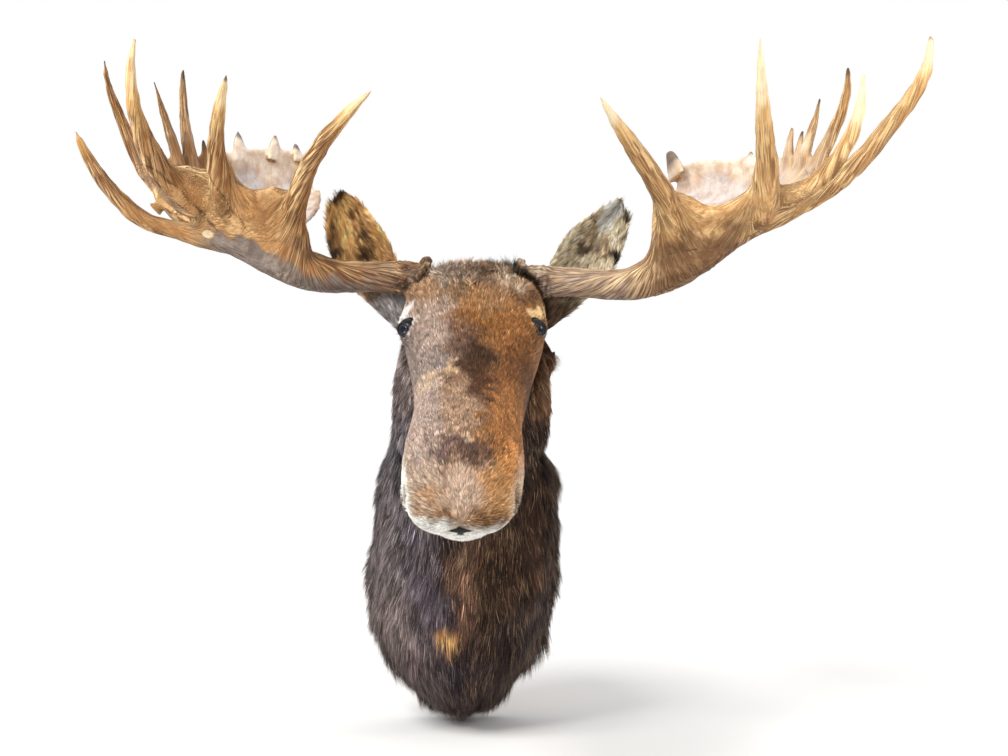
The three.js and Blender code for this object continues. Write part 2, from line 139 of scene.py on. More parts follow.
class Skin:
    """The points of a net of quads and their neighbours, for rounding, combing and painting its surface."""

    def __init__(self, mesh):
        self.mesh = mesh
        self.points = read(mesh.vertices, "co", 3)
        corners = read(mesh.loops, "vertex_index", 1, np.int32).reshape(-1, 4)
        sides = read(mesh.edges, "vertices", 2, np.int32)
        links = np.concatenate([sides, corners[:, ::2], corners[:, 1::2]])
        links = np.concatenate([links, links[:, ::-1]])
        links = links[np.argsort(links[:, 0], kind="stable")]
        count = np.bincount(links[:, 0], minlength=len(self.points))
        place = np.arange(len(links)) - np.repeat(np.cumsum(count) - count, count)
        self.near = np.repeat(np.arange(len(self.points))[:, None], count.max(), 1)
        self.near[links[:, 0], place] = links[:, 1]
        self.spare = (count.max() - count)[:, None].astype(np.float32)
        self.count = count[:, None].astype(np.float32)
        self.corners = corners

    def mean(self, values):
        return (values[self.near].sum(1) - self.spare * values) / self.count

    def spread(self, values, times):
        flat = values.reshape(len(values), -1).astype(np.float32)
        for _ in range(times):
            flat = 0.5 * (flat + self.mean(flat))
        return flat.reshape(values.shape)

    def relax(self, times, rounds):
        """Rounds off what is small, and gives back what that shrinks."""
        rest = self.points
        soft = self.spread(rest, times)
        for _ in range(rounds - 1):
            soft = soft + self.spread(rest - soft, times)
        self.points = soft
        return self

    def normals(self):
        self.mesh.vertices.foreach_set("co", self.points.astype(np.float32).ravel())
        self.mesh.update()
        return read(self.mesh.vertex_normals, "vector", 3)

    def lift(self, heights):
        self.points = self.points + self.normals() * heights[:, None]

    def distance(self, starts):
        """How far each point is over the surface from the nearest start; each start has a lead."""
        lengths = np.linalg.norm(self.points[self.near] - self.points[:, None], axis=-1).tolist()
        near = self.near.tolist()
        far = [1e9] * len(near)
        queue = []
        for start, lead in starts:
            first = int(np.argmin(((self.points - start) ** 2).sum(1)))
            far[first] = lead
            queue.append((lead, first))
        heapq.heapify(queue)
        while queue:
            way, here = heapq.heappop(queue)
            if way > far[here]:
                continue
            for there, length in zip(near[here], lengths[here]):
                if way + length < far[there]:
                    far[there] = way + length
                    heapq.heappush(queue, (way + length, there))
        return np.array(far)

    def uphill(self, values):
        """Directions over the surface in which the values rise, made even with their neighbours'."""
        normals = self.normals()
        values = self.spread(values, 12)
        steps = self.points[self.near] - self.points[:, None]
        climbs = (values[self.near] - values[:, None])[..., None]
        flow = (steps * climbs / np.maximum(dot(steps, steps), 1e-12)).sum(1)
        for _ in range(30):
            flow = unit(flow - normals * dot(flow, normals))
            flow = flow + self.mean(flow)
        return unit(flow - normals * dot(flow, normals))

    def combed(self, flow, along, ring, start, stride):
        """Where each point lands when it goes back down the flow to the last ring that it crossed."""
        normals = self.normals()
        rows = np.arange(len(self.points))
        choices = np.concatenate([rows[:, None], self.near], 1)
        here, at = rows, self.points.astype(float)
        goal = np.floor((along - start) / ring) * ring + start
        for _ in range(int(ring / stride) + 2):
            left = along[here] + dot(at - self.points[here], flow[here])[:, 0] - goal
            step = np.clip(left, 0, stride)[:, None]
            at = at - step * flow[here]
            choice = choices[here]
            here = choice[rows, ((self.points[choice] - at[:, None]) ** 2).sum(-1).argmin(1)]
            at = at - normals[here] * dot(at - self.points[here], normals[here])
        return at

    def part(self, kept):
        """A copy of the mesh with only the faces whose corners are kept, and its openings filled."""
        shell = bmesh.new()
        shell.from_mesh(self.mesh)
        lost = [face for face, keep in zip(shell.faces, kept[self.corners[:, 0]]) if not keep]
        bmesh.ops.delete(shell, geom=lost, context="FACES")
        open_edges = [edge for edge in shell.edges if edge.is_boundary]
        for edge in open_edges:
            edge.smooth = False
        bmesh.ops.holes_fill(shell, edges=open_edges)
        made = bpy.data.meshes.new("part")
        shell.to_mesh(made)
        shell.free()
        return made

    def keep(self, name, values):
        """Stores values on the points for the material to read."""
        kind, field = ("FLOAT", "value") if values.ndim == 1 else ("FLOAT_VECTOR", "vector")
        made = self.mesh.attributes.new(name, kind, "POINT")
        made.data.foreach_set(field, values.astype(np.float32).ravel())


class Wire:
    """An output of a shader node. Sums and products of wires and numbers add Math nodes."""

    def __init__(self, tree, socket=None):
        self.tree, self.socket = tree, socket

    def node(self, kind, settings=None, inputs=None, output=0):
        made = self.tree.nodes.new("ShaderNode" + kind)
        for name, value in (settings or {}).items():
            setattr(made, name, value)
        for name, value in (inputs or {}).items():
            if isinstance(value, Wire):
                self.tree.links.new(value.socket, made.inputs[name])
            else:
                made.inputs[name].default_value = value
        return None if output is None else Wire(self.tree, made.outputs[output])

    def maths(self, operation, *values):
        return self.node("Math", {"operation": operation}, dict(enumerate(values)))

    def __add__(self, other):
        return self.maths("ADD", self, other)

    __radd__ = __add__

    def __mul__(self, other):
        return self.maths("MULTIPLY", self, other)

    __rmul__ = __mul__

    def __sub__(self, other):
        return self.maths("SUBTRACT", self, other)

    def __rsub__(self, other):
        return self.maths("SUBTRACT", other, self)

    def size(self):
        return self.maths("ABSOLUTE", self)

    def clipped(self):
        return self.node("Clamp", None, {0: self})

    def between(self, low, high):
        """0 below low, 1 above high, and soft between."""
        return self.node("MapRange", {"interpolation_type": "SMOOTHSTEP"}, {0: self, 1: low, 2: high})

    def attribute(self, name, output=2):
        return self.node("Attribute", {"attribute_name": name}, output=output)

    def noise(self, scale, detail=3.0, roughness=0.55, stretch=None):
        place = self.node("TexCoord", output=3)
        if stretch:
            place = self.node("Mapping", None, {0: place, 3: stretch})
        return self.node("TexNoise", None, {"Vector": place, "Scale": scale, "Detail": detail,
                                            "Roughness": roughness})

    def mix(self, share, first, second):
        """One colour with a share of the second over it."""
        first, second = [c if isinstance(c, Wire) else (*c, 1) for c in (first, second)]
        return self.node("Mix", {"data_type": "RGBA"}, {0: share, 6: first, 7: second}, 2)


def material(name):
    """A new material and a wire to build it from."""
    made = bpy.data.materials.new(name)
    made.use_nodes = True
    made.node_tree.nodes.clear()
    return made, Wire(made.node_tree)


def surface(wire, inputs, height=None, strength=0.5, distance=0.001):
    """Ends a material in a Principled shader, with a bump from height."""
    if height is not None:
        inputs = {**inputs, "Normal": wire.node("Bump", None, {"Strength": strength, "Distance": distance,
                                                                "Height": height})}
    shader = wire.node("BsdfPrincipled", None, inputs)
    wire.node("OutputMaterial", None, {0: shader}, None)


def finished(name, mesh, finish, slot, *nodes):
    """The mesh as a piece of the mount that stands for those CAD nodes."""
    mesh.materials.clear()
    mesh.materials.append(finish)
    mesh.shade_smooth()
    piece = bpy.data.objects.new(name, mesh)
    scene.collection.objects.link(piece)
    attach(piece, "root")
    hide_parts(*nodes)
    return piece


antler_bone, wire = material("antler_bone")
tone = wire.noise(9.0, 3.0)
mottle = wire.noise(45.0, 4.0, 0.6)
fleck = wire.noise(330.0, 3.0, 0.7)
ridge_pale_and_painted_light, stain = wire.attribute("ridge_pale_and_painted_light"), wire.attribute("stain")
turn = wire.attribute("turn")


def strands(size, width=None):
    """Noise drawn out along the growth; with a width, 1 in the grooves that it draws and 0 between."""
    waves = [wire.node("TexNoise", None, {"Vector": wire.attribute(name, 1), "Scale": size, "Detail": 2.0,
                                          "Roughness": 0.6}) for name in ("comb_a", "comb_b")]
    if width:
        waves = [1 - (wave - 0.5).size().between(0.0, width) for wave in waves]
    return waves[0] * turn + waves[1] * (1 - turn)


cuts = strands(180.0, 0.08)
hairlines = strands(480.0, 0.12)
cut = (cuts * 0.85 + hairlines * 0.5).clipped() * wire.attribute("rough")
ridge = (1 - cut) * wire.attribute("rough") * strands(80.0).between(0.36, 0.58)
beam_bone = wire.mix(tone.between(0.3, 0.7), colour(112, 80, 64), colour(150, 114, 92))
worn_bone = wire.mix(mottle.between(0.3, 0.7), colour(112, 100, 92), colour(152, 138, 127))
inner_bone = wire.mix(mottle.between(0.35, 0.65), colour(160, 148, 146), colour(188, 184, 186))
tan_bone = wire.mix(mottle.between(0.35, 0.65), colour(188, 166, 146), colour(222, 208, 194))
ivory = wire.attribute("ivory")
worn_end = wire.mix(ivory.between(0.45, 0.95), colour(214, 166, 100), colour(246, 230, 196))
bone = wire.mix(tone.between(0.35, 0.65), colour(158, 112, 66), colour(186, 138, 86))
# Gold: the right antler's own golden band above the grey zone, and painted light over the whole left
# antler.
bone = wire.mix(wire.attribute("gold_and_painted_light"), bone, colour(210, 164, 108))
bone = wire.mix(wire.attribute("beam"), bone, beam_bone)
# Umber: the bone's own umber patches and band, and painted shade on faces turned away from the lamps.
bone = wire.mix(wire.attribute("umber_and_painted_shade") * 0.85, bone, colour(170, 110, 56))
bone = wire.mix(wire.attribute("grey"), bone, worn_bone)
bone = wire.mix(wire.attribute("tan"), bone, tan_bone)
bone = wire.mix(wire.attribute("pale"), bone, inner_bone)
# Deep brown: painted shade on the left brow palm's lower part, and some deep tone on the inner face's outer
# end.
bone = wire.mix(wire.attribute("deep_tone_and_painted_shade"), bone, colour(96, 64, 38))
bone = wire.mix(ivory.between(0.0, 0.7), bone, worn_end)
# Pale ridges: worn bone, painted paler still on faces turned toward the lamps (painted light).
bone = wire.mix(ridge * ridge_pale_and_painted_light, bone, colour(244, 214, 160))
bone = wire.mix(fleck.between(0.55, 0.75) * 0.45 * wire.attribute("speckle"), bone, colour(96, 62, 36))
bone = wire.mix(cut * stain, bone, colour(66, 36, 16))
# Dark lines: the palms' cracks and the grey zone's seam, and painted shade in the hollows between the
# burr's knobs.
bone = wire.mix(wire.attribute("crack"), bone, colour(50, 34, 24))
# Dark tine ends, and painted shade on the inner side of the left palm's rolled corner.
bone = wire.mix(wire.attribute("dark_end_and_corner_shade"), bone, colour(56, 43, 36))
surface(wire, {"Base Color": bone, "Roughness": 0.42 + cut * 0.3, "Specular IOR Level": 0.25},
        fleck * 0.4 - cut * 1.2, 0.7, 0.0012)

# Where the tines end: place in the head's frame and the tine's length in millimetres, how far the pale
# worn bone reaches down from its end, how pale it is, and how far a dark end reaches. At the left palm's
# rolled corner (its last entry) that dark is painted shade on the roll's inner side.
TINE_ENDS = {
    "right": [
        ((-150, -780, 687), 270, 150, 0.75, 0), ((-381, -748, 718), 200, 150, 0.85, 1),
        ((-533, -716, 782), 240, 210, 0.75, 0), ((-666, -580, 657), 270, 70, 0.5, 3),
        ((-630, -530, 786), 190, 60, 0.0, 7), ((-570, -420, 770), 150, 60, 0.0, 8),
        ((-531, -360, 804), 160, 60, 0.0, 15), ((-510, -278, 690), 40, 30, 0.0, 8),
        ((-556, -332, 682), 30, 30, 0.0, 8), ((-462, -178, 720), 40, 50, 0.0, 14),
        ((-397, -126, 722), 40, 50, 0.0, 10), ((-360, -106, 708), 30, 40, 0.0, 8),
        ((-562, -486, 544), 20, 50, 0.5, 0), ((-302, -130, 612), 30, 50, 0.0, 0),
    ],
    "left": [
        ((206, -790, 676), 250, 140, 1.0, 0), ((460, -755, 777), 260, 240, 1.0, 0),
        ((639, -684, 732), 190, 180, 1.0, 0), ((770, -606, 811), 340, 140, 0.9, 5),
        ((655, -505, 779), 190, 60, 0.1, 10), ((627, -400, 744), 110, 60, 0.0, 8),
        ((592, -320, 704), 60, 60, 0.0, 10), ((606, -348, 694), 50, 60, 0.0, 8),
        ((533, -216, 676), 30, 50, 0.0, 10), ((388, -96, 692), 50, 60, 0.0, 36),
    ],
}
LONGEST_TINE = 0.34
# The worn grey zone's upper border under each antler: way out from the face's middle, and height.
GREY_BORDER = ([0.187, 0.281, 0.314, 0.352, 0.393, 0.449], [0.411, 0.418, 0.437, 0.466, 0.485, 0.492])
BURR_MIDDLES = {"right": (-0.091, -0.471, 0.411), "left": (0.097, -0.471, 0.408)}
WHITE_SPOT = (-0.449, 0.486)  # x and z of a rubbed spot on the right brow palm
# Cracks and veins on the brow palms' front: points (x, z) in the head's frame in millimetres, and width.
PALM_CRACKS = {
    "right": [
        ([(-533, 591), (-505, 572), (-485, 555), (-460, 525), (-445, 502), (-434, 488)], 2.4),
        ([(-432, 573), (-412, 537), (-394, 512), (-379, 490)], 1.5),
    ],
    "left": [
        ([(423, 465), (380, 456), (339, 451)], 0.7),
    ],
}


def polyline_distance(flat, line):
    """The distance of flat points from a line through (x, z) points."""
    line = np.array(line, float) / 1000
    best = np.full(len(flat), 1e9)
    for a, b in zip(line[:-1], line[1:]):
        share = np.clip(((flat - a) @ (b - a)) / ((b - a) @ (b - a)), 0, 1)
        best = np.minimum(best, np.linalg.norm(flat - a - share[:, None] * (b - a), axis=1))
    return best


def antler_skin(side, nodes):
    """The solids as one skin with softly filled forks, and how near its points are to the burr's knobs."""
    skin = Skin(remeshed(merged_copy(nodes, FUSE), ANTLER_NET))
    burr = np.array(BURR_MIDDLES[side]) + FACE_MIDDLE
    knobs = smooth(np.linalg.norm(skin.points - burr, axis=1), 0.062, 0.045)
    crisp = Skin(skin.mesh).relax(4, 2).points
    skin.relax(30, 3)
    x, y, z = (skin.points - FACE_MIDDLE).T
    fork = smooth(-y, 0.50, 0.53) * smooth(np.abs(np.abs(x) - 0.42), 0.17, 0.12)
    fork *= smooth(z, 0.62, 0.56) * smooth(z, 0.41, 0.45)
    soft = Skin(skin.mesh)
    soft.points = skin.points
    skin.points = skin.points + (soft.relax(110, 2).points - skin.points) * fork[:, None]
    skin.points += (crisp - skin.points) * knobs[:, None]
    return skin, knobs


def worn_ends(side, place):
    """How far the tines' ends make each point pale, dark and blunt."""
    pale, dark_end_and_corner_shade, blunt = np.zeros((3, len(place)))
    for tip, _, reach, paleness, dark in TINE_ENDS[side]:
        gap = np.linalg.norm(place - np.array(tip) / 1000, axis=1)
        blunt = np.maximum(blunt, smooth(gap, 0.040, 0.008))
        gap = gap + 0.006 * drift(place, 0.04, 8)
        pale = np.maximum(pale, paleness * smooth(gap, reach / 1000, 0.2 * reach / 1000))
        if dark:
            dark_end_and_corner_shade = np.maximum(dark_end_and_corner_shade, 0.82 * smooth(gap, dark / 1000 + 0.012, dark / 1000 - 0.008))
    return pale, dark_end_and_corner_shade, blunt


def palm_cracks(side, place, normal):
    """How deep each point lies in a crack on the brow palm's front."""
    crack = np.zeros(len(place))
    front = smooth(-place[:, 1], 0.515, 0.53) * smooth(-normal[:, 1], 0.0, 0.3)
    wander = 0.0022 * drift(place, 0.035, 11)
    for line, width in PALM_CRACKS[side]:
        gap = polyline_distance(place[:, [0, 2]] + 0.7 * wander[:, None], line)
        wide = width / 1000 * np.clip(1 + 0.5 * drift(place, 0.02, 13), 0.2, 2)
        crack = np.maximum(crack, front * (1 - smooth(gap / wide, 0.2, 1.0)) * 0.7)
    return crack


for side, sign in (("right", -1), ("left", 1)):
    nodes = [f"antler_{side}_{part}" for part in ("beam", "brow_palm", "main_palm")]
    skin, knobs = antler_skin(side, nodes)
    place = skin.points - FACE_MIDDLE
    x, y, z = place.T
    out = x * sign
    along = -skin.distance([(np.array(tip) / 1000 + FACE_MIDDLE, LONGEST_TINE - span / 1000)
                            for tip, span, *_ in TINE_ENDS[side]])
    flow = skin.uphill(along)
    normal = skin.normals()
    inward = unit(np.array([-0.62 * sign, -0.38, 0.68]))
    inner = smooth(normal @ inward, -0.15, 0.3) * smooth(y, -0.485, -0.44) * smooth(out, 0.29, 0.33)
    inner *= 1 - 0.8 * smooth(z, 0.665, 0.70) * smooth(out, 0.49, 0.53)
    high = smooth(z, 0.52, 0.57)
    inner *= high + (1 - high) * smooth(out, 0.46, 0.42)
    rim = smooth(z + 0.012 * drift(place, 0.09, 5), 0.600, 0.655)
    ivory, dark_end_and_corner_shade, blunt = worn_ends(side, place)
    crack = palm_cracks(side, place, normal)
    # Painted light and shade: faces turned to the upper left (sunny) get paler ridges, faces turned away
    # (shaded) get umber.
    lit = normal @ unit(np.array([-0.75, -0.2, 0.45]))
    sunny, shaded = smooth(lit, -0.1, 0.7), smooth(lit, 0.15, -0.55)
    beam = smooth(out, 0.36, 0.24) * smooth(z, 0.50, 0.46)
    over = z - np.interp(out, *GREY_BORDER) + 0.004 * drift(place, 0.03, 3)
    grey = smooth(over, 0.006, -0.010) * smooth(out, 0.12, 0.22) * smooth(out, 0.49, 0.43)
    grey *= 1.0 if sign < 0 else 0.12
    grey = np.maximum(grey, 0.5 * smooth(out, 0.17, 0.11) * smooth(drift(place, 0.04, 15), -0.6, 0.8))
    seam = np.exp(-((over + 0.003) / 0.004) ** 2) * smooth(out, 0.29, 0.34) * smooth(out, 0.45, 0.43)
    crack = np.maximum(crack, 0.45 * seam * grey)
    sweep = np.exp(-((over - 0.018) / 0.016) ** 2) * smooth(out, 0.17, 0.24) * smooth(out, 0.37, 0.32)
    plate = smooth(np.abs(normal[:, 1]), 0.55, 0.85) * smooth(-y, 0.51, 0.54) * (1 - ivory)
    plate *= smooth(np.abs(out - 0.45), 0.16, 0.11) * smooth(np.abs(z - 0.50), 0.10, 0.05)
    starts = 0.465 if sign < 0 else 0.565
    outer = inner * smooth(out + 0.01 * drift(place, 0.06, 17), starts, starts + 0.04) * (0.8 - 0.2 * sign)
    rough = (1 - 0.85 * inner + 0.5 * outer) * (1 - 0.15 * grey) * (1 - 0.5 * ivory) * (1 - 0.15 * plate)
    rough = np.clip(rough, 0, 1)
    turn = smooth(np.abs((along / RING) % 1.0 - 0.5), 0.42, 0.18)
    combs = []
    for start in (0.0, RING / 2):
        comb = skin.combed(flow, along, RING, start, COMB_STRIDE) - FACE_MIDDLE
        combs.append(comb + (place - comb) * (0.035 + 0.10 * plate)[:, None])
    waves = [drift(comb, 0.0072, 16, 60) for comb in combs]
    wave = waves[0] * turn + waves[1] * (1 - turn)
    # Umber: the beam's and the bone's own umber patches and band, and painted shade on faces turned away
    # from the lamps.
    umber_and_painted_shade = 0.15 * beam + smooth(drift(place, 0.09, 9), 0.3, 1.6) * 0.35 * (1 - inner) + 0.5 * outer
    umber_and_painted_shade = umber_and_painted_shade * (0.7 - 0.3 * sign) + (0.35 - 0.25 * sign) * shaded * (1 - inner) * (1 - beam)
    umber_and_painted_shade = np.maximum(umber_and_painted_shade, (0.95 if sign < 0 else 0.5) * sweep)
    # Painted shade: the lower part of the left brow palm is darkened to deep brown; the outer end of the
    # inner face gets a little deep tone too.
    deep_tone_and_painted_shade = smooth(z - 0.12 * out + 0.008 * drift(place, 0.05, 18), 0.452, 0.415)
    deep_tone_and_painted_shade *= smooth(out, 0.28, 0.34)
    deep_tone_and_painted_shade *= (smooth(out, 0.56, 0.46) if sign > 0 else 0.0) * 0.85
    deep_tone_and_painted_shade = np.maximum(deep_tone_and_painted_shade, 0.4 * outer)
    spot = np.linalg.norm((place[:, [0, 2]] - WHITE_SPOT) * [0.8, 1.7], axis=1) * (1.0 if sign < 0 else 9.0)
    spot = smooth(spot + 0.002 * drift(place, 0.02, 25), 0.013, 0.007) * smooth(-y, 0.49, 0.51)
    pearls = smooth(drift(place, 0.009, 21), 0.0, 1.4)
    height = 0.0004 * drift(place, 0.028, 12) * (1 - 0.6 * inner)
    height -= GROOVE_DEPTH * smooth(-wave, 0.1, 1.3) * rough
    height += 0.0010 * blunt - 0.0014 * crack
    height += knobs * (0.0026 * pearls - 0.0008) + 0.0014 * spot
    skin.lift(height)
    skin.normals()
    for name, comb in zip(("comb_a", "comb_b"), combs):
        skin.keep(name, comb)
    skin.keep("turn", turn)
    skin.keep("rough", rough)
    skin.keep("speckle", np.clip(plate + 0.5 * inner + 0.3 * grey, 0, 1) * (1 - ivory))
    # How pale the ridges are: wear, plus painted light on faces turned to the lamps and over the whole left
    # antler.
    skin.keep("ridge_pale_and_painted_light", np.clip((0.42 + 0.11 * (sign + 1) + 0.50 * sunny) * (1 - 0.85 * deep_tone_and_painted_shade)
                                * (1 - 0.25 * beam - 0.75 * grey + 0.2 * ivory - 0.3 * plate), 0, 1))
    # Painted light: the left antler, on the side away from the main lamps, is made golden all over; on the
    # right antler gold is its own band.
    gold_and_painted_light = 0.6 * (1 - deep_tone_and_painted_shade) if sign > 0 else 0.7 * sweep
    skin.keep("gold_and_painted_light", gold_and_painted_light * (1 - 0.8 * smooth(out, 0.22, 0.16)))
    skin.keep("beam", beam * ((1 - 0.6 * sweep) if sign < 0 else 0.9))
    skin.keep("umber_and_painted_shade", np.clip(umber_and_painted_shade * (1 - ivory), 0, 1))
    skin.keep("deep_tone_and_painted_shade", deep_tone_and_painted_shade)
    skin.keep("grey", np.clip(grey, 0, 1))
    blush = 0.35 * beam * (1 - deep_tone_and_painted_shade) if sign > 0 else 0.0
    skin.keep("tan", np.maximum(inner * np.maximum(rim, 0.35) * (1 - outer), blush))
    skin.keep("pale", inner * (1 - rim) * 0.95 * (1 - outer))
    skin.keep("ivory", np.maximum(ivory * (0.75 + 0.25 * smooth(wave, -1.2, 0.8)), 0.8 * spot))
    skin.keep("stain", 0.80 - 0.06 * sign - 0.25 * ivory - 0.30 * plate)
    # Painted shade: the hollows between the burr's knobs are darkened and stored with the cracks.
    hollow_shade = knobs * (1 - pearls) * 0.75 * smooth(-drift(place, 0.02, 24), -0.8, 0.5)
    skin.keep("crack", np.clip(crack + hollow_shade, 0, 1))
    skin.keep("dark_end_and_corner_shade", dark_end_and_corner_shade)
    beyond = y > np.median(y)
    for part, kept in (("base", ~beyond), ("palms", beyond)):
        finished(f"antler_{side}_{part}", skin.part(kept), antler_bone, "antler", *nodes)

# The head: a moose's hide drawn over a form. Short glossy hair lies back from the nose, longer and tousled
# on the crown between the antlers; a black bare patch lies under the nose, and the lips are cream.

HEAD_NET = 0.0032
HEAD_HAIRS = 150000  # in each of its pieces
HEAD_LOCKS = (14000, 70000)
NOSE_TIP = np.array([-0.004, -1.062, 0.034])
# Soft spots of coat colour: x, z, half-width and half-height in millimetres, colour and strength.
FACE_SPOTS = [
    (-62, 309, 52, 70, (150, 130, 117), 1.0),
    (-72, 222, 42, 90, (158, 140, 126), 1.0),
    (-62, 160, 46, 70, (160, 140, 128), 1.0),
    (75, 309, 40, 75, (146, 98, 56), 1.0),
    (75, 222, 42, 90, (120, 77, 43), 1.0),
    (60, 160, 40, 70, (151, 101, 58), 1.0),
    (-4, 190, 30, 52, (151, 123, 101), 0.9),
    (10, 330, 42, 48, (138, 90, 46), 0.95),
    (28, 362, 60, 24, (146, 110, 76), 0.6),
    (-12, 280, 34, 50, (116, 92, 76), 0.7),
    (12, 268, 26, 50, (54, 34, 22), 0.95),
    (22, 228, 20, 34, (66, 39, 22), 0.9),
    (-14, 304, 22, 34, (92, 68, 54), 0.6),
    (-12, 138, 50, 15, (91, 70, 66), 0.85),
    (12, 122, 28, 17, (88, 64, 49), 0.85),
    (-40, 150, 20, 12, (120, 98, 85), 0.5),
    (-50, 82, 44, 34, (176, 155, 136), 0.8),
    (-36, 74, 26, 17, (164, 124, 88), 0.7),
    (2, 84, 34, 36, (204, 176, 154), 0.9),
    (52, 84, 34, 40, (188, 138, 88), 0.9),
    (70, 116, 20, 28, (200, 138, 82), 0.8),
    (56, 66, 24, 14, (196, 152, 106), 0.5),
    (-30, 420, 60, 34, (131, 116, 102), 0.9),
    (20, 425, 55, 34, (98, 78, 61), 0.9),
    (70, 405, 26, 30, (168, 146, 124), 0.7),
    (-72, 388, 28, 26, (158, 124, 94), 0.8),
    (-98, 286, 20, 36, (120, 105, 98), 0.9),
    (-60, 262, 34, 16, (134, 119, 112), 0.8),
    (-28, 250, 14, 9, (206, 174, 138), 0.7),
    (-50, 236, 16, 8, (200, 172, 140), 0.7),
    (-72, 220, 16, 9, (196, 172, 144), 0.7),
    (6, 152, 13, 4, (214, 188, 156), 0.8),
    (-108, 338, 14, 26, (244, 236, 228), 1.0),
    (-97, 326, 7, 22, (230, 220, 212), 0.9),
    (110, 344, 10, 16, (246, 208, 154), 0.95),
    (88, 372, 26, 16, (110, 80, 56), 0.7),
]


def painted(place, ground, spots):
    """Coat colours of points (in the head's frame): a ground colour with soft-edged spots over it."""
    shade = np.array(ground, float) * np.ones((len(place), 1))
    wander = np.stack([drift(place, 0.035, 31), drift(place, 0.035, 32)], 1) * 0.005
    fringe = np.stack([drift(place, 0.012, 33), drift(place, 0.012, 34)], 1) * 0.002
    flat = place[:, [0, 2]] + wander + fringe
    for x, z, wide, high, tone, strength in spots:
        gap = np.linalg.norm((flat - np.array([x, z]) / 1000) / (np.array([wide, high]) / 1000), axis=1)
        share = strength * smooth(gap, 1.35, 0.45)
        shade += (np.array(colour(*tone)) - shade) * share[:, None]
    return shade


def eye_middle(sign):
    return np.array([0.105 * sign + 0.003, -0.588, 0.321])


def face_coat(place):
    shade = painted(place, colour(128, 94, 64), FACE_SPOTS)
    x, y, z = place.T
    aside = x + 0.004
    # Cream: the lips' own pale colour, and a painted highlight round the muzzle's sides and the lower lip,
    # full on the moose's right side toward the lamps and fainter on the left.
    lip = 0.044 - 0.003 * np.tanh(aside / 0.03) + 0.35 * np.maximum(-aside - 0.035, 0)
    lip += 0.003 * drift(place, 0.03, 41)
    cream = smooth(z, lip, lip - 0.014) * smooth(-y, 0.84, 0.92)
    reach = 0.058 + 0.20 * np.maximum(z - 0.055, 0)
    edge = smooth(np.abs(aside), reach, reach + 0.018)
    edge *= smooth(z, 0.150, 0.085) * smooth(-y, 0.88, 0.95)
    cream = np.maximum(cream, edge * np.where(aside < 0, 1.0, 0.3))
    shade += (np.array([1.0, 0.97, 0.88]) - shade) * cream[:, None]
    # Painted shade: the hide darkens in a ring round each antler's foot, where the burr meets the head.
    for side in (1, -1):
        foot = np.linalg.norm(place - np.array([0.094 * side, -0.471, 0.410]), axis=1)
        shade *= (1 - 0.92 * smooth(foot, 0.066, 0.052))[:, None]
    jaw = smooth(-y, 0.80, 0.62) * smooth(z - 0.36 * (-y - 0.5), 0.235, 0.15)
    side = np.where(x < 0, 1.0, 0.0)[:, None]
    jaw_tone = side * np.array(colour(96, 84, 82)) + (1 - side) * np.array(colour(70, 50, 38))
    shade += (jaw_tone - shade) * jaw[:, None]
    rear = smooth(-y, 0.50, 0.44) * smooth(z, 0.40, 0.34)
    shade += (np.array(colour(110, 98, 92)) - shade) * rear[:, None]
    return shade


def bare(place, slack=0.0):
    """Where the head has no hair, with so much more round it: nose patch, nostrils and the eyes' rims."""
    x, y, z = place.T
    aside, over = np.abs(x + 0.004), z - 0.027
    nose = smooth(aside + np.where(over > 0, 2.4, 5.0) * np.abs(over) - slack, 0.0215, 0.0185)
    nose = np.maximum(nose, smooth(aside + 0.35 * np.abs(over + 0.009) - slack, 0.0070, 0.0050))
    nose *= smooth(-y, 1.00, 1.02)
    holes = np.zeros(len(place))
    for sign in (1, -1):
        gap = place - np.array([0.080 * sign - 0.004, -1.002, 0.068])
        holes = np.maximum(holes, smooth(np.linalg.norm(gap / [1, 1.4, 0.6], axis=1), 0.015, 0.011))
        eye = np.linalg.norm(place - eye_middle(sign), axis=1)
        holes = np.maximum(holes, smooth(eye, 0.0205, 0.0185))
    return np.maximum(nose, holes)


